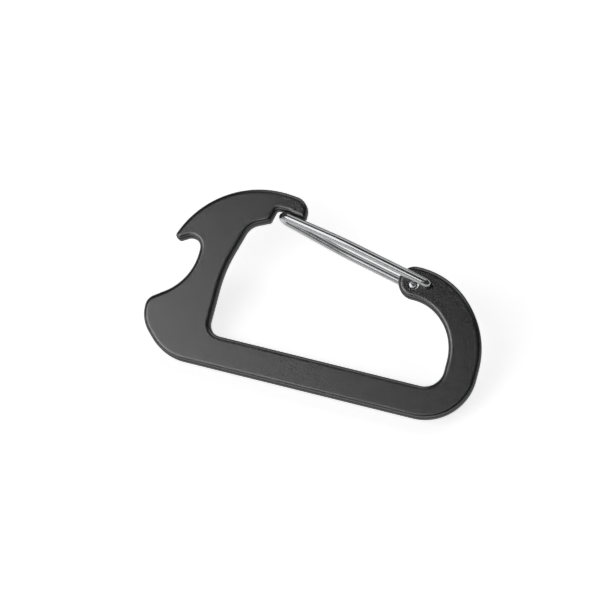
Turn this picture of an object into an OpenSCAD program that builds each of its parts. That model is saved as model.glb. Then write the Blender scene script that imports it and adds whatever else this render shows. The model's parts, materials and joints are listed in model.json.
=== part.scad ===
// Carabiner keyring: a flat plate hook with a bottle-opener notch, closed by a sprung wire gate.
// The plate lies in the XY plane with its long bar along X and its thickness centred on Z = 0.
// The origin is the centre of the plate. The gate's wire straddles the plate on both faces.

/* [Plate] */
// Overall length of the plate, along the bar
length = 76.5; // [74:0.5:84]
// Overall height of the plate, across the bar
height = 42.5; // [42.5:0.5:46]
// Thickness of the plate
thickness = 4; // [3.5:0.1:5]
// Width of the bar and of the curved arm
bar_width = 7.3; // [6.5:0.1:7.8]
// Radius of the rounded edge all round the plate
edge_radius = 1; // [0.5:0.1:1]

/* [Gate] */
// Diameter of the gate's wire
wire_d = 2; // [1.6:0.1:2]
// Gap between a leg of the wire and the face of the plate
face_gap = 0.3; // [0.2:0.05:0.5]
// Centre-line radius of the loop at the gate's free end
loop_radius = 1.4; // [1.3:0.1:2]
// Radial clearance of the front pin in its hole
front_pin_clearance = 0.05; // [0.03:0.01:0.1]
// Radial clearance of the rear pin, which drifts a little as the gate opens
rear_pin_clearance = 0.22; // [0.2:0.01:0.3]

/* [Hidden] */
$fn = 64;

x_left = -length / 2;
x_right = length / 2;
y_bottom = -height / 2;
y_top = height / 2;

// Inner edge of the bar, and the two edges of the arm where it carries the gate
y_bar = y_bottom + bar_width;
y_arm_top = y_top - 9.3;
y_arm_under = y_arm_top - bar_width;
x_arm_end = x_right - 22.3;
x_arm_inner = x_right - bar_width;

// Outer radii of the lower right corner, the arm and its shoulder; the inner ones share their centres
foot_radius = 11.7;
arm_radius = 19.4;
shoulder_radius = 17.4;

// The arm bends over in two equal turns, with its corners on a 45 degree line
x_shoulder = x_right - 11.05;
y_shoulder = y_arm_top - 11.05;
shoulder_mitre = bar_width * tan(22.5);

// Inner edge of the hook's stem, floor of the opener notch, and outer side of the nose
x_stem = x_left + 15.35;
x_notch = x_left + 8.8;
x_nose = x_left + 30.3;

// Corners of the plate's outline, anticlockwise, each as [x, y, radius of its round]
CORNERS = [
    // Large lower left round in two turns, the bar, and the lower right corner
    [x_left, y_bottom + 6.95, 8.1],
    [x_left + 6.95, y_bottom, 11.4],
    [x_right, y_bottom, foot_radius],
    // Outside of the arm
    [x_right, y_shoulder, arm_radius],
    [x_shoulder, y_arm_top, shoulder_radius],
    // Rounded end of the arm, where the gate is pinned
    [x_arm_end, y_arm_top, bar_width / 2 - 0.02],
    [x_arm_end, y_arm_under, bar_width / 2 - 0.02],
    // Inside of the arm, and the inner lower right corner
    [x_shoulder - shoulder_mitre, y_arm_under, shoulder_radius - bar_width],
    [x_arm_inner, y_shoulder - shoulder_mitre, arm_radius - bar_width],
    [x_arm_inner, y_bar, foot_radius - bar_width],
    // Inner side of the hook's stem, and its shoulder
    [x_stem, y_bar, 3],
    [x_stem, y_top - 20.2, 33],
    [x_left + 18.4, y_top - 9.2, 4.2],
    // Pocket behind the nose that takes the gate's loop
    [x_left + 22.75, y_top - 7.2, 0.6],
    [x_left + 23.45, y_top - 4.15, 0.8],
    [x_left + 26.2, y_top - 4.15, 1],
    [x_left + 27, y_top - 4.5, 1],
    // Nose, long back of the hook, and the opener's lip
    [x_nose, y_top - 4.95, 0.5],
    [x_nose, y_top - 0.6, 3.3],
    [x_left + 8.95, y_top + 1.68, 22.1],
    [x_left + 1.7, y_top - 17.3, 1],
    // Opener notch, and the heel that bears on a cap
    [x_notch, y_top - 12.95, 2.3],
    [x_notch, y_top - 24.3, 12.6],
    [x_left, y_top - 30.6, 3]
];

// Centre lines of the gate's front pin and of the middle of its loop, at rest
front_pin = [x_right - 15.55, y_top - 12.85];
loop_tip = [x_left + 25.15, y_top - 5.4];
// Step from the front pin to the rear pin, along the gate and across it
pin_step = 3.1;
pin_drop = 1.4;
// Middle of the rear pin's drift as the gate opens, measured from its place at rest
pin_drift = [0.15, 0.04];

wire_r = wire_d / 2;
leg_z = thickness / 2 + face_gap + wire_r;
bend_radius = leg_z - thickness / 2;
// How far each pin's end stays below the far face of the plate
pin_end_gap = 0.4;
// Half of the slit where the two halves of the wire meet at the loop's middle
split_gap = 0.02;
// The bent stretch of the wire is a shade thinner than its pins, which turn in the plate's holes
tube_r = wire_r - 0.01;
tube_into_pin = 0.3;
pin_above_face = 0.05;
// Rings in each bend of the wire
bend_steps = 8;

// The two legs lie in one plane, turned a little about the gate's long axis
pin_span = norm(front_pin - loop_tip);
front_reach = sqrt(pin_span * pin_span - pin_drop * pin_drop / 4);
rear_reach = front_reach - pin_step;
gate_slope = atan2(loop_tip[1] - front_pin[1], front_pin[0] - loop_tip[0]) + asin(pin_drop / 2 / pin_span);
leg_offset = norm([leg_z, pin_drop / 2]);
leg_twist = atan2(pin_drop / 2, leg_z);

// The legs run parallel from the pins to this distance from the loop's tip, then close in to the loop
taper_length = 15;
taper_run = taper_length - loop_radius;
taper_angle = acos(loop_radius / norm([leg_offset, taper_run])) - atan2(taper_run, leg_offset);

rear_pin = at_gate(rear_reach, -pin_drop / 2);

// Point of the plate's plane at a distance along the gate from the loop's tip, and across it
function at_gate(along, across) = loop_tip
    + along * [cos(gate_slope), -sin(gate_slope)]
    + across * [sin(gate_slope), cos(gate_slope)];

// Unit vector from one point to another, and the same turned a quarter turn to its left
function towards(a, b) = ([b[0], b[1]] - [a[0], a[1]]) / norm([b[0], b[1]] - [a[0], a[1]]);
function to_left(v) = [-v[1], v[0]];
function cross_z(u, v) = u[0] * v[1] - u[1] * v[0];

// Points of one rounded corner b between a and c, with the whole outline moved inwards by inset
function corner_points(a, b, c, inset) =
    let (
        u = towards(a, b),
        v = towards(b, c),
        turn = atan2(cross_z(u, v), u * v),
        side = sign(turn),
        steps = max(2, ceil(abs(turn) * sqrt(b[2]) / 22)),
        radius = side > 0 ? max(b[2] - inset, 0.05) : b[2] + inset,
        apex = [b[0], b[1]] + inset * (to_left(u) + to_left(v)) / (1 + u * v),
        centre = apex + radius * side * (to_left(u) + to_left(v)) / (1 + u * v)
    )
    [for (i = [0 : steps])
        let (a = turn * i / steps)
        centre - radius * side * [
            -u[1] * cos(a) - u[0] * sin(a),
            u[0] * cos(a) - u[1] * sin(a)
        ]
    ];

// The plate's outline, moved inwards by inset
function outline(inset) = [
    for (i = [0 : len(CORNERS) - 1])
        each corner_points(
            CORNERS[(i + len(CORNERS) - 1) % len(CORNERS)],
            CORNERS[i],
            CORNERS[(i + 1) % len(CORNERS)],
            inset
        )
];

// Levels of the rounded edge, as [height, inset], from the back face up to the front face
edge_steps = 4;
UPPER_LEVELS = [
    for (i = [0 : edge_steps])
        let (a = 90 * i / edge_steps)
        [thickness / 2 - edge_radius * (1 - sin(a)), edge_radius * (1 - cos(a))]
];
LEVELS = concat(
    [for (i = [edge_steps : -1 : 0]) [-UPPER_LEVELS[i][0], UPPER_LEVELS[i][1]]],
    UPPER_LEVELS
);

// Solid skin over a row of rings of points, each turning anticlockwise about the way the row runs
module loft(rings) {
    count = len(rings[0]);
    top = len(rings) - 1;
    sides = [
        for (k = [0 : top - 1])
            for (i = [0 : count - 1])
                let (j = (i + 1) % count)
                [k * count + i, (k + 1) * count + i, (k + 1) * count + j, k * count + j]
    ];
    first_end = [for (i = [0 : count - 1]) i];
    last_end = [for (i = [count - 1 : -1 : 0]) top * count + i];
    polyhedron([for (ring = rings) each ring], concat(sides, [first_end, last_end]), convexity = 6);
}

// Flat plate of the outline with a rounded edge all round, held to its overall size
module rounded_plate() {
    resize([length, height, thickness])
        loft([
            for (level = LEVELS)
                [for (p = outline(level[1])) [p[0], p[1], level[0]]]
        ]);
}

// Hole right through the plate, square to its faces
module pin_hole(place, clearance) {
    translate([place[0], place[1], -thickness])
        cylinder(r = wire_r + clearance, h = 2 * thickness);
}

// Ring of points round a wire's centre line at a point, square to the tangent t
wire_sides = 20;
function wire_ring(at, t) =
    let (
        side = [0, 1, 0] - t[1] * t,
        n = side / norm(side),
        m = cross(t, n)
    )
    [for (i = [0 : wire_sides - 1])
        let (a = 360 * i / wire_sides)
        at + tube_r * (cos(a) * n + sin(a) * m)
    ];

// Point at x along the gate and w out from its long axis, in the plane of the two legs
function in_leg_plane(x, w) = [x, w * sin(leg_twist), w * cos(leg_twist)];

// Centre line of one half of the gate: quarter loop, tapering leg, parallel leg and bend.
// The loop's tip is at the origin and the leg runs along +X, on the +Z side of the plate.
function gate_path(reach) = concat(
    [
        for (i = [0 : bend_steps])
            let (
                start = asin(split_gap / loop_radius),
                a = start + (90 - taper_angle - start) * i / bend_steps
            )
            [in_leg_plane(loop_radius * (1 - cos(a)), loop_radius * sin(a)), in_leg_plane(sin(a), cos(a))]
    ],
    [[
        in_leg_plane(taper_length, leg_offset),
        in_leg_plane(cos(taper_angle / 2), sin(taper_angle / 2))
    ]],
    [
        for (i = [0 : bend_steps])
            let (a = 90 * i / bend_steps)
            [
                [reach - bend_radius * (1 - sin(a)), pin_drop / 2, leg_z - bend_radius * (1 - cos(a))],
                [cos(a), 0, -sin(a)]
            ]
    ],
    // The tube runs a little way into the pin, so that the two are one piece
    [[[reach, pin_drop / 2, leg_z - bend_radius - tube_into_pin], [0, 0, -1]]]
);

// One half of the gate, with its pin
module gate_half(reach) {
    pin_foot = pin_end_gap - thickness / 2;
    loft([for (step = gate_path(reach)) wire_ring(step[0], step[1])]);
    translate([reach, pin_drop / 2, pin_foot])
        cylinder(r = wire_r, h = leg_z - bend_radius - pin_foot + pin_above_face);
}

// Puts the gate's own frame at the loop's tip, with +X along the gate
module place_gate() {
    translate([loop_tip[0], loop_tip[1], 0])
        rotate([0, 0, -gate_slope])
            children();
}

module body_plate() {
    color([0.1, 0.1, 0.11])
        difference() {
            rounded_plate();
            pin_hole(front_pin, front_pin_clearance);
            pin_hole(rear_pin + pin_drift, rear_pin_clearance);
        }
}

module gate_wire_front() {
    color([0.78, 0.79, 0.8])
        place_gate()
            gate_half(front_reach);
}

module gate_wire_rear() {
    color([0.72, 0.73, 0.75])
        place_gate()
            rotate([180, 0, 0])
                gate_half(rear_reach);
}

body_plate();
gate_wire_front();
gate_wire_rear();
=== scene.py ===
"""Carabiner keyring: a black plate hook with a bottle-opener notch and a sprung wire gate."""
import json

import bpy
import numpy as np
from mathutils import Matrix, Vector
from mathutils.geometry import delaunay_2d_cdt


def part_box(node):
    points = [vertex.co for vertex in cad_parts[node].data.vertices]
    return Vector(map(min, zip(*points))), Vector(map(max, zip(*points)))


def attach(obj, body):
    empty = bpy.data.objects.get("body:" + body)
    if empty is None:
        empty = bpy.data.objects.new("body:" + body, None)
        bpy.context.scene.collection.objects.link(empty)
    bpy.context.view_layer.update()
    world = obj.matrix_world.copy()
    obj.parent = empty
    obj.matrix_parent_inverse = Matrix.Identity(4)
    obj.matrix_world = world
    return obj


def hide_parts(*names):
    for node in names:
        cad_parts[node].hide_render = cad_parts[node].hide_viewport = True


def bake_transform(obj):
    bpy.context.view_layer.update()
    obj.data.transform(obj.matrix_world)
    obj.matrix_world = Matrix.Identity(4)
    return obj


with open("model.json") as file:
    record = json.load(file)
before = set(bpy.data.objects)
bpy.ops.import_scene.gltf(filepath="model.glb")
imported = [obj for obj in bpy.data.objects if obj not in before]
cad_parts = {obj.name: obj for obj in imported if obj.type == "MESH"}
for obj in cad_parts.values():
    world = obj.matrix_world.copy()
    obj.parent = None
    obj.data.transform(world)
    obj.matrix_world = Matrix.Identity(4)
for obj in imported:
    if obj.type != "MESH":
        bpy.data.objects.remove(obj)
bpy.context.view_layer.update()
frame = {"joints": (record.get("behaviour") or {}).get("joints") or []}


# Plate. One C-shaped plate of aluminium, blanked from sheet, tumbled until its edges are round,
# then blasted and anodised black. The hook, the opener notch and the arm for the gate are all in it.
MM = 0.001
plate_low, plate_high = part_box("body_plate")
joint_place = {joint["name"]: Vector(joint["pos_m"]) for joint in frame["joints"]}
gate_pin, loop_tip = joint_place["gate_swing"], joint_place["loop_flex"]

# The plate's sides, and the edges and rounds of its arm, stem, notch and nose, in millimetres
left, right = plate_low[0] / MM, plate_high[0] / MM
bottom, top = plate_low[1] / MM, plate_high[1] / MM
half_thickness = (plate_high[2] - plate_low[2]) / 2 / MM
bar_width = 7.3
edge_radius = 1.0
arm_top = top - 9.3
arm_under = arm_top - bar_width
arm_end = right - 22.3
shoulder_x, shoulder_y = right - 11.05, arm_top - 11.05
mitre = bar_width * np.tan(np.radians(22.5))
foot_round, arm_round, shoulder_round = 11.7, 19.4, 17.4
arm_end_round = bar_width / 2 - 0.02
stem, notch, nose = left + 15.35, left + 8.8, left + 30.3

# Corners of the outline in millimetres, anticlockwise, each with the radius of its round
corners = np.array([
    # Lower left round in two turns, the bar, and the lower right corner
    (left, bottom + 6.95, 8.1),
    (left + 6.95, bottom, 11.4),
    (right, bottom, foot_round),
    # Outside of the arm, its rounded end, and its inside back to the bar
    (right, shoulder_y, arm_round),
    (shoulder_x, arm_top, shoulder_round),
    (arm_end, arm_top, arm_end_round),
    (arm_end, arm_under, arm_end_round),
    (shoulder_x - mitre, arm_under, shoulder_round - bar_width),
    (right - bar_width, shoulder_y - mitre, arm_round - bar_width),
    (right - bar_width, bottom + bar_width, foot_round - bar_width),
    # Inner side of the hook's stem, and the pocket behind the nose
    (stem, bottom + bar_width, 3.0),
    (stem, top - 20.2, 33.0),
    (left + 18.4, top - 9.2, 4.2),
    (left + 22.75, top - 7.2, 0.6),
    (left + 23.45, top - 4.15, 0.8),
    (left + 26.2, top - 4.15, 1.0),
    (left + 27.0, top - 4.5, 1.0),
    # Nose, long back of the hook, and the opener's lip, notch and heel
    (nose, top - 4.95, 0.5),
    (nose, top - 0.6, 3.3),
    (left + 8.95, top + 1.68, 22.1),
    (left + 1.7, top - 17.3, 1.0),
    (notch, top - 12.95, 2.3),
    (notch, top - 24.3, 12.6),
    (left, top - 30.6, 3.0),
])

# Points along each corner's round, and the smallest radius that an inset leaves it
arc_steps = 26
least_radius = 0.05


def rounded_outline(inset):
    """Each corner's arc, from one edge's tangent to the next: the arc's centre lies off the corner
    along the sum of the two edges' left normals, and the inset changes its radius, not its centre."""
    here = corners[:, :2]
    before, after = here - np.roll(here, 1, axis=0), np.roll(here, -1, axis=0) - here
    u = before / np.linalg.norm(before, axis=1, keepdims=True)
    v = after / np.linalg.norm(after, axis=1, keepdims=True)
    turn = np.arctan2(u[:, 0] * v[:, 1] - u[:, 1] * v[:, 0], (u * v).sum(axis=1))
    side = np.sign(turn)
    radius = np.where(side > 0, np.maximum(corners[:, 2] - inset, least_radius), corners[:, 2] + inset)
    bisector = np.stack([-u[:, 1] - v[:, 1], u[:, 0] + v[:, 0]], axis=1)
    bisector /= 1 + (u * v).sum(axis=1, keepdims=True)
    centre = here + (inset + radius * side)[:, None] * bisector
    angle = turn[:, None] * np.linspace(0, 1, arc_steps)[None, :]
    out_x = u[:, 1:2] * np.cos(angle) + u[:, 0:1] * np.sin(angle)
    out_y = u[:, 1:2] * np.sin(angle) - u[:, 0:1] * np.cos(angle)
    reach = (radius * side)[:, None]
    points = np.stack([centre[:, 0:1] + reach * out_x, centre[:, 1:2] + reach * out_y], axis=-1)
    return points.reshape(-1, 2)


def band_quads(rows, columns, first=0):
    """Faces of a grid of rows of points that closes on itself along each row."""
    row, column = np.meshgrid(np.arange(rows - 1), np.arange(columns), indexing="ij")
    beside = (column + 1) % columns
    quads = np.stack([row * columns + column, row * columns + beside,
                      (row + 1) * columns + beside, (row + 1) * columns + column], axis=-1)
    return quads.reshape(-1, 4) + first


def odd_crossings(points, loops):
    """True where a ray to the right of a point crosses the loops' edges an odd number of times."""
    start = np.concatenate(loops)
    end = np.concatenate([np.roll(loop, -1, axis=0) for loop in loops])
    x, y = points[:, 0:1], points[:, 1:2]
    spans = (start[:, 1] > y) != (end[:, 1] > y)
    rise = np.where(end[:, 1] == start[:, 1], 1.0, end[:, 1] - start[:, 1])
    crossing = start[:, 0] + (y - start[:, 1]) * (end[:, 0] - start[:, 0]) / rise
    return (spans & (x < crossing)).sum(axis=1) % 2 == 1


def face_triangles(loops):
    """Triangles that fill the area inside the first loop and outside the others."""
    points = np.concatenate(loops)
    starts = np.cumsum([0] + [len(loop) for loop in loops[:-1]])
    edges = np.concatenate([
        np.stack([np.arange(len(loop)), (np.arange(len(loop)) + 1) % len(loop)], axis=1) + first
        for loop, first in zip(loops, starts)])
    made = delaunay_2d_cdt([Vector(p) for p in points.tolist()], edges.tolist(), [], 0, 1e-7)
    origin = np.array([ids[0] for ids in made[3]])
    triangles = origin[np.array(made[2])]
    return triangles[odd_crossings(points[triangles].mean(axis=1), loops)]


# Rounded edge, as inset and height, from the back face round to the front face. The first and
# last rows lie a hair inside the round, so that the flat faces keep an exact normal.
flat_rim = 0.04
quarter = np.linspace(0, np.pi / 2, 11)
round_inset = np.concatenate([[edge_radius + flat_rim], edge_radius * (1 - np.sin(quarter))])
round_height = np.concatenate([[half_thickness], half_thickness - edge_radius * (1 - np.cos(quarter))])
edge_inset = np.concatenate([round_inset, round_inset[::-1]])
edge_height = np.concatenate([-round_height, round_height[::-1]])
rim = np.stack([
    np.column_stack([rounded_outline(inset), np.full(len(corners) * arc_steps, height)])
    for inset, height in zip(edge_inset, edge_height)])

# The two holes for the wire's ends. The rear one lies a step along the gate and across it. It is the
# larger, and centred on the small drift of its pin as the gate opens.
pin_radius, front_clearance, rear_clearance = 1.0, 0.05, 0.22
pin_step, pin_drop = 3.1, 1.4
pin_drift = np.array([0.15, 0.04])
along = (gate_pin - loop_tip).xy / MM
gate_turn = np.arctan2(along.y, along.x) - np.arcsin(pin_drop / 2 / along.length)
gate_along = np.array([np.cos(gate_turn), np.sin(gate_turn)])
gate_out = np.array([-gate_along[1], gate_along[0]])
front_reach = np.sqrt(along.length ** 2 - (pin_drop / 2) ** 2)
rear_reach = front_reach - pin_step
tip = np.array(loop_tip[:2]) / MM
front_hole = tip + front_reach * gate_along + pin_drop / 2 * gate_out
rear_hole = tip + rear_reach * gate_along - pin_drop / 2 * gate_out + pin_drift


def hole_wall(centre, radius, chamfer=0.12, sides=72):
    """Rings round a hole from the front face to the back face, with a small chamfer at each mouth."""
    angle = np.linspace(0, 2 * np.pi, sides, endpoint=False)
    reach = np.array([chamfer + flat_rim, chamfer, 0, 0, chamfer, chamfer + flat_rim]) + radius
    height = half_thickness * np.ones(6) - np.array([0, 0, chamfer, chamfer, 0, 0])
    height[3:] *= -1
    ring = np.stack([np.cos(angle), np.sin(angle)], axis=-1)
    flat = centre + reach[:, None, None] * ring[None]
    return np.concatenate([flat, np.broadcast_to(height[:, None, None], (6, sides, 1))], axis=-1)


walls = [
    rim,
    hole_wall(front_hole, pin_radius + front_clearance),
    hole_wall(rear_hole, pin_radius + rear_clearance)]
firsts = np.cumsum([0] + [wall.shape[0] * wall.shape[1] for wall in walls])

# Which row of the rim and of each hole bounds the front face, and which the back face
front_rows = [rim.shape[0] - 1, 0, 0]
back_rows = [0, 5, 5]


def cap(rows, flip):
    """One flat face of the plate, between the given rows of the rim and of the holes."""
    loops = [wall[row][:, :2] for wall, row in zip(walls, rows)]
    ids = np.concatenate([
        first + row * wall.shape[1] + np.arange(wall.shape[1])
        for wall, row, first in zip(walls, rows, firsts)])
    triangles = face_triangles(loops)
    return ids[triangles][:, ::-1] if flip else ids[triangles]


plate_mesh = bpy.data.meshes.new("plate")
plate_points = np.concatenate([wall.reshape(-1, 3) for wall in walls]) * MM
plate_faces = []
for wall, first in zip(walls, firsts):
    plate_faces += band_quads(wall.shape[0], wall.shape[1], first).tolist()
plate_faces += cap(front_rows, False).tolist() + cap(back_rows, True).tolist()
plate_mesh.from_pydata(plate_points.tolist(), [], plate_faces)
plate_mesh.shade_smooth()
plate_mesh.set_sharp_from_angle(angle=np.radians(35))
plate = bpy.data.objects.new("plate", plate_mesh)
bpy.context.scene.collection.objects.link(plate)


class Socket:
    """A value in a material: arithmetic on it adds the Math nodes that work it out."""

    def __init__(self, finish, output):
        self.finish, self.output = finish, output

    def math(self, operation, first, second):
        return self.finish.add("ShaderNodeMath", {"operation": operation}, {0: first, 1: second})

    def __add__(self, other): return self.math("ADD", self, other)
    def __radd__(self, other): return self.math("ADD", other, self)
    def __mul__(self, other): return self.math("MULTIPLY", self, other)
    def __rmul__(self, other): return self.math("MULTIPLY", other, self)


class Finish:
    """A material's node tree, with one method that adds any node and gives back one of its outputs."""

    def __init__(self, name):
        self.material = bpy.data.materials.new(name)
        self.material.use_nodes = True
        self.tree = self.material.node_tree
        self.shader = self.tree.nodes["Principled BSDF"]

    def add(self, kind, settings, inputs, output=0):
        node = self.tree.nodes.new(kind)
        for name, value in settings.items():
            setattr(node, name, value)
        for name, value in inputs.items():
            self.put(node.inputs[name], value)
        return Socket(self, node.outputs[output])

    def put(self, socket, value):
        if isinstance(value, Socket):
            self.tree.links.new(value.output, socket)
        else:
            socket.default_value = value

    def ramp(self, value, low, high, to_low, to_high):
        """The value's stretch from low to high, eased on to to_low to to_high."""
        return self.add("ShaderNodeMapRange", {"interpolation_type": "SMOOTHSTEP"},
                        {0: value, 1: low, 2: high, 3: to_low, 4: to_high})

    def noise(self, place, scale, detail=2.0, roughness=0.5):
        return self.add("ShaderNodeTexNoise", {"noise_dimensions": "3D"},
                        {"Vector": place, "Scale": scale, "Detail": detail, "Roughness": roughness})

    def tint(self, amount, dark, light):
        return self.add("ShaderNodeMix", {"data_type": "RGBA"}, {0: amount, 6: dark, 7: light}, 2)


# Black anodising over a fine blasted grain: very dark and half matt, duller on the side wall, with a
# patch of lighter blotches beside the front pin and a faint wear on the rounded edges.
black = Finish("black_anodised")
place = black.add("ShaderNodeTexCoord", {}, {}, 3)
grain = black.noise(place, 5200.0, 2.0, 0.6)
cloud = black.noise(place, 90.0, 3.0, 0.55)
speck = black.ramp(black.noise(place, 2400.0, 1.0, 0.5), 0.62, 0.74, 0.0, 1.0)
rub = black.add("ShaderNodeAttribute", {"attribute_name": "edge"}, {}, 2)
worn = rub * black.ramp(cloud, 0.42, 0.68, 0.0, 1.0)
# A patch of lighter blotches painted into the colour just beside the front pin, fading out within about 2
# mm of it
beside_pin = (gate_pin.x + 1.8 * MM, gate_pin.y, half_thickness * MM)
by_pin = black.add("ShaderNodeVectorMath", {"operation": "DISTANCE"}, {0: place, 1: beside_pin}, 1)
pin_blotches = black.ramp(black.noise(place, 900.0, 3.0, 0.6), 0.48, 0.62, 0.0, 1.0)
pin_patch = black.ramp(by_pin, 0.6 * MM, 2.2 * MM, 1.0, 0.0) * pin_blotches
dye, lighter_dye = (0.002, 0.0021, 0.0023, 1), (0.013, 0.0128, 0.0126, 1)
shade = black.tint(worn * 0.4 + speck * 0.2 + cloud * 0.3 + pin_patch * 0.9, dye, lighter_dye)
black.put(black.shader.inputs["Base Color"], shade)
black.put(black.shader.inputs["Roughness"], 0.14 + cloud * 0.03 + grain * 0.05)
black.put(black.shader.inputs["Specular IOR Level"], 0.9)
black.put(black.shader.inputs["IOR"], 1.77)
pitted = grain + speck * 0.3
pit = black.add("ShaderNodeBump", {}, {"Strength": 0.75, "Distance": 0.05 * MM, "Height": pitted})
black.put(black.shader.inputs["Normal"], pit)
glossy = Socket(black, black.shader.outputs[0])
side = black.add("ShaderNodeAttribute", {"attribute_name": "side"}, {}, 2)
dull = black.add(
    "ShaderNodeBsdfPrincipled", {},
    {"Base Color": (0.008, 0.008, 0.0082, 1), "Roughness": 0.55, "Specular IOR Level": 0.25})
both = black.add("ShaderNodeMixShader", {}, {0: side, 1: glossy, 2: dull})
black.put(black.tree.nodes["Material Output"].inputs["Surface"], both)

# Two amounts that the finish reads, worked out from a row's share of the half thickness: "edge" peaks
# half way round the rounded edge, and "side" rises from nought there to one on the side wall.
height_share = np.abs(edge_height) / half_thickness
row_amounts = {
    "edge": np.exp(-((height_share - 0.86) / 0.16) ** 2),
    "side": np.clip((0.92 - height_share) / 0.2, 0, 1)}
for amount_name, row_amount in row_amounts.items():
    amount = np.zeros(len(plate_points), np.float32)
    amount[:firsts[1]] = np.repeat(row_amount, rim.shape[1])
    plate_mesh.attributes.new(amount_name, "FLOAT", "POINT").data.foreach_set("value", amount)
plate_mesh.materials.append(black.material)
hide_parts("body_plate")
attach(plate, "plate")


# Gate. One length of bright spring-steel wire, bent to a narrow loop at its free end, with its two legs
# either side of the plate and their ends turned in to the two holes. It is in three pieces here:
# the loop with both legs, which flexes at its tip, and the two turned-in ends.
wire_round = 0.99
leg_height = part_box("gate_wire_front")[1][2] / MM - wire_round
turn_radius = leg_height - half_thickness
loop_radius, taper_length = 1.4, 15.0
leg_offset = np.hypot(leg_height, pin_drop / 2)
leg_twist = np.arctan2(pin_drop / 2, leg_height)
taper_run = taper_length - loop_radius
taper_angle = np.arccos(loop_radius / np.hypot(leg_offset, taper_run)) - np.arctan2(taper_run, leg_offset)
ease_radius = 45.0  # of the arc between the taper and the parallel legs
ease = ease_radius * np.tan(taper_angle / 2)


def leg_plane(x, w):
    """A point x along the gate and w out from its axis, in the plane of the two legs."""
    return np.stack([x, w * np.sin(leg_twist), w * np.cos(leg_twist)], axis=-1)


def leg_line(reach):
    """Centre line from the loop's tip along one leg to its bend: a quarter loop, a straight taper,
    a long easing arc into the parallel stretch, and that stretch."""
    a = np.linspace(0, np.pi / 2 - taper_angle, 26)
    quarter_loop = leg_plane(loop_radius * (1 - np.cos(a)), loop_radius * np.sin(a))
    run = np.array([np.cos(taper_angle), np.sin(taper_angle)])
    start = np.array([loop_radius * (1 - np.sin(taper_angle)), loop_radius * np.cos(taper_angle)])
    stop = np.array([taper_length, leg_offset]) - ease * run
    share = np.linspace(0, 1, 12)[1:, None]
    taper = start + share * (stop - start)
    b = taper_angle * (1 - np.linspace(0, 1, 10)[1:])
    easing = np.stack([taper_length + ease - ease_radius * np.sin(b),
                       leg_offset - ease_radius * (1 - np.cos(b))], axis=-1)
    last = np.array([reach - turn_radius, leg_offset])
    parallel = easing[-1] + np.linspace(0, 1, 14)[1:, None] * (last - easing[-1])
    flat = np.concatenate([taper, easing, parallel])
    return np.concatenate([quarter_loop, leg_plane(flat[:, 0], flat[:, 1])])


def end_line(reach):
    """Centre line of a turned-in end: a quarter turn from the leg towards the plate, then straight in."""
    a = np.linspace(0, np.pi / 2, 16)
    bend_x, bend_z = reach - turn_radius * (1 - np.sin(a)), leg_height - turn_radius * (1 - np.cos(a))
    pin_end_gap = 0.4
    pin_z = np.linspace(leg_height - turn_radius, pin_end_gap - half_thickness, 8)[1:]
    x = np.concatenate([bend_x, np.full(len(pin_z), reach)])
    return np.stack([x, np.full(len(x), pin_drop / 2), np.concatenate([bend_z, pin_z])], axis=-1)


def turned_over(line):
    """The line on the other side of the plate: a half turn about the gate's own axis."""
    return line * np.array([1.0, -1.0, -1.0])


def placed(line):
    """From the gate's own axes to the plate's, in metres: the loop's tip, plus x along the gate and y
    across it."""
    flat = tip + line[:, 0:1] * gate_along + line[:, 1:2] * gate_out
    return np.column_stack([flat, line[:, 2]]) * MM


def wire_along(name, line, round_end, sides=48):
    """Rings of the wire's section carried along a line, each square to the line and turned from a
    fixed sideways direction. A rounded end steps its last rings in on a small quarter round, and
    closes with a tiny one. The UV map holds the distance along the wire and round it, in metres."""
    step = np.gradient(line, axis=0)
    step /= np.linalg.norm(step, axis=1, keepdims=True)
    sideways = np.array([*gate_out, 0.0])
    across = sideways - (step @ sideways)[:, None] * step
    across /= np.linalg.norm(across, axis=1, keepdims=True)
    upright = np.cross(step, across)
    radius = np.full(len(line), wire_round * MM)
    if round_end:
        round_share, closing_share = 0.3, 0.02
        dome = np.linspace(np.pi / 2, 0.04, 7)[1:]
        shrink = 1 - round_share * (1 - np.sin(dome))
        shrink[-1] = closing_share
        tail = line[-1] + round_share * np.cos(dome)[:, None] * radius[0] * step[-1]
        line, radius = np.concatenate([line, tail]), np.concatenate([radius, shrink * radius[0]])
        across = np.concatenate([across, np.repeat(across[-1:], len(dome), axis=0)])
        upright = np.concatenate([upright, np.repeat(upright[-1:], len(dome), axis=0)])
    angle = np.linspace(0, 2 * np.pi, sides, endpoint=False)[None, :, None]
    outwards = np.cos(angle) * across[:, None] + np.sin(angle) * upright[:, None]
    rings = line[:, None] + radius[:, None, None] * outwards
    rows = len(line)
    mesh = bpy.data.meshes.new(name)
    ends = [list(range(sides))[::-1], [(rows - 1) * sides + k for k in range(sides)]]
    quads = band_quads(rows, sides)
    mesh.from_pydata(rings.reshape(-1, 3).tolist(), [], quads.tolist() + ends)
    run = np.concatenate([[0], np.cumsum(np.linalg.norm(np.diff(line, axis=0), axis=1))])
    u = np.repeat(run, sides)[quads]
    v = (quads % sides) / sides
    v[:, 1:3] = np.where(v[:, 1:3] == 0, 1.0, v[:, 1:3])  # the last column closes the round at one
    uv = np.zeros((len(mesh.loops), 2), np.float32)
    uv[:quads.size, 0], uv[:quads.size, 1] = u.ravel(), v.ravel() * 2 * np.pi * wire_round * MM
    mesh.uv_layers.new(name="along").data.foreach_set("uv", uv.ravel())
    mesh.shade_smooth()
    mesh.set_sharp_from_angle(angle=np.radians(50))
    piece = bpy.data.objects.new(name, mesh)
    bpy.context.scene.collection.objects.link(piece)
    return piece


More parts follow.
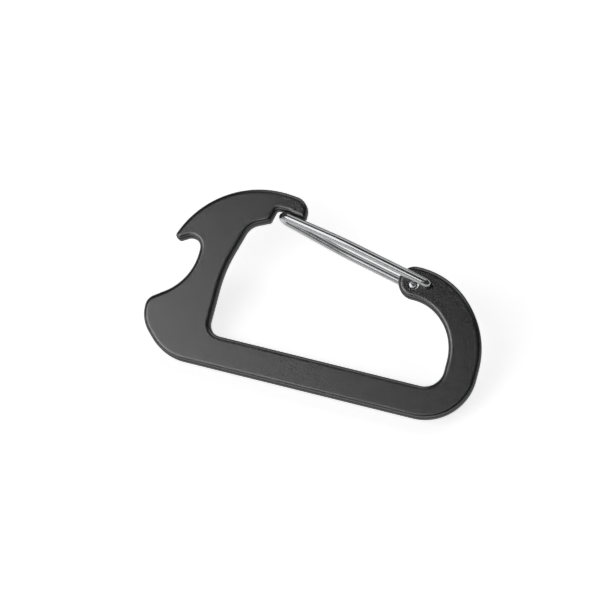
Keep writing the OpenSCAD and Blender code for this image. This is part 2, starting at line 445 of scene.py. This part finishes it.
# Drawn spring wire: bright, with fine lines along its length left by the die
steel = Finish("drawn_spring_wire")
along_wire = steel.add("ShaderNodeUVMap", {"uv_map": "along"}, {})
stretched = steel.add("ShaderNodeMapping", {}, {"Vector": along_wire, "Scale": (24.0, 1500.0, 1.0)})
lines = steel.noise(stretched, 1.0, 4.0, 0.62)
patches = steel.noise(steel.add("ShaderNodeTexCoord", {}, {}, 3), 420.0, 3.0, 0.5)
dark_steel, bright_steel = (0.32, 0.323, 0.33, 1), (0.60, 0.602, 0.61, 1)
steel_shade = steel.tint(lines * 0.6 + patches * 0.4, dark_steel, bright_steel)
steel.put(steel.shader.inputs["Base Color"], steel_shade)
steel.put(steel.shader.inputs["Metallic"], 1.0)
steel.put(steel.shader.inputs["Roughness"], 0.12 + lines * 0.10 + patches * 0.04)

front_line, rear_line = leg_line(front_reach), turned_over(leg_line(rear_reach))
loop_line = np.concatenate([front_line[::-1], rear_line[1:]])
gate_loop = wire_along("gate_loop", placed(loop_line), False)
gate_end_front = wire_along("gate_end_front", placed(end_line(front_reach)), True)
gate_end_rear = wire_along("gate_end_rear", placed(turned_over(end_line(rear_reach))), True)
for piece in (gate_loop, gate_end_front, gate_end_rear):
    piece.data.materials.append(steel.material)
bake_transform(gate_loop)
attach(gate_end_front, "gate_front")
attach(gate_end_rear, "gate_rear")
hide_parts("gate_wire_front", "gate_wire_rear")


# Floor. A sheet of pale matt board, 5 m square. The carabiner rests on it by the back of the bar's
# long edge and leans, with its gate side raised off the board. A hair's gap keeps the two apart.
lean_back = np.radians(24)
hair = 0.02 * MM
rest_y, rest_z = (bottom + 0.1) * MM, -half_thickness * MM
grid = np.linspace(-2.5, 2.5, 7)
floor_x, floor_run = np.meshgrid(grid, grid, indexing="ij")
floor_points = np.stack([
    floor_x,
    rest_y + floor_run * np.cos(lean_back),
    rest_z - floor_run * np.sin(lean_back) - hair], axis=-1)
index = np.arange(floor_x.size).reshape(floor_x.shape)
floor_quads = np.stack([index[:-1, :-1], index[1:, :-1], index[1:, 1:], index[:-1, 1:]], axis=-1)
floor_mesh = bpy.data.meshes.new("floor")
floor_mesh.from_pydata(floor_points.reshape(-1, 3).tolist(), [], floor_quads.reshape(-1, 4).tolist())
floor = bpy.data.objects.new("floor", floor_mesh)
bpy.context.scene.collection.objects.link(floor)
board = Finish("pale_board")
fibre = board.noise(board.add("ShaderNodeTexCoord", {}, {}, 3), 900.0, 3.0, 0.6)
pale, paler = (0.90, 0.90, 0.90, 1), (0.92, 0.92, 0.92, 1)
board.put(board.shader.inputs["Base Color"], board.tint(fibre, pale, paler))
board.put(board.shader.inputs["Roughness"], 0.9)
board.put(board.shader.inputs["Specular IOR Level"], 0.1)
board.put(board.shader.inputs["Emission Color"], (1, 1, 1, 1))
board.put(board.shader.inputs["Emission Strength"], 0.72)
floor_mesh.materials.append(board.material)


# Light. A dim room with soft boxes. The key is large and on the lower left, with its near edge just
# outside what the plate's face mirrors. One behind the hook and one in front of the bar keep the
# shadows faint. A narrow strip over the camera draws the fine bright line along the wire.
world = bpy.data.worlds.new("pale_room")
bpy.context.scene.world = world
world.use_nodes = True
background = world.node_tree.nodes["Background"]
background.inputs["Color"].default_value = (1, 1, 1, 1)
background.inputs["Strength"].default_value = 0.055


def soft_box(name, place, target, width, depth, power):
    """A rectangular area light of the given sides in metres, facing its target."""
    lamp = bpy.data.lights.new(name, "AREA")
    lamp.shape, lamp.size, lamp.size_y, lamp.energy = "RECTANGLE", width, depth, power
    box = bpy.data.objects.new(name, lamp)
    bpy.context.scene.collection.objects.link(box)
    box.location = place
    box.rotation_euler = (Vector(target) - Vector(place)).to_track_quat("-Z", "Y").to_euler()


soft_box("key", (-0.252, -0.080, 0.448), (0.026, 0.172, 0), 0.40, 0.40, 0.98)
soft_box("back", (0.10, 0.85, 0.32), (0, 0, 0), 0.90, 0.60, 1.5)
soft_box("strip", (0.12, -0.11, 0.82), (0, 0, 0), 0.50, 0.06, 0.16)
soft_box("front", (-0.14, -0.75, 0.38), (0, 0, 0), 0.80, 0.50, 0.55)


# Camera. A long lens, square on to the plate but for a small lean to the right and down.
lean_right, lean_down, roll = 0.115, 0.17, np.radians(13.72)
picture_right = Vector((np.cos(roll), np.sin(roll), 0))
picture_down = Vector((np.sin(roll), -np.cos(roll), 0))
towards_camera = (Vector((0, 0, 1)) + lean_right * picture_right + lean_down * picture_down).normalized()
screen_x = (picture_right - picture_right.dot(towards_camera) * towards_camera).normalized()
screen_y = towards_camera.cross(screen_x)
aim = Vector((-0.00461, -0.00148, 0))
view_width, view_distance = 0.1346, 0.763
sensor = 36.0
camera_data = bpy.data.cameras.new("camera")
camera_data.lens, camera_data.sensor_width = sensor * view_distance / view_width, sensor
camera_data.clip_start, camera_data.clip_end = 0.01, 10.0
camera = bpy.data.objects.new("camera", camera_data)
bpy.context.scene.collection.objects.link(camera)
camera.matrix_world = Matrix.Translation(aim + towards_camera * view_distance) @ Matrix((
    (screen_x.x, screen_y.x, towards_camera.x, 0),
    (screen_x.y, screen_y.y, towards_camera.y, 0),
    (screen_x.z, screen_y.z, towards_camera.z, 0),
    (0, 0, 0, 1)))
bpy.context.scene.camera = camera
bpy.context.scene.view_settings.view_transform = "Standard"
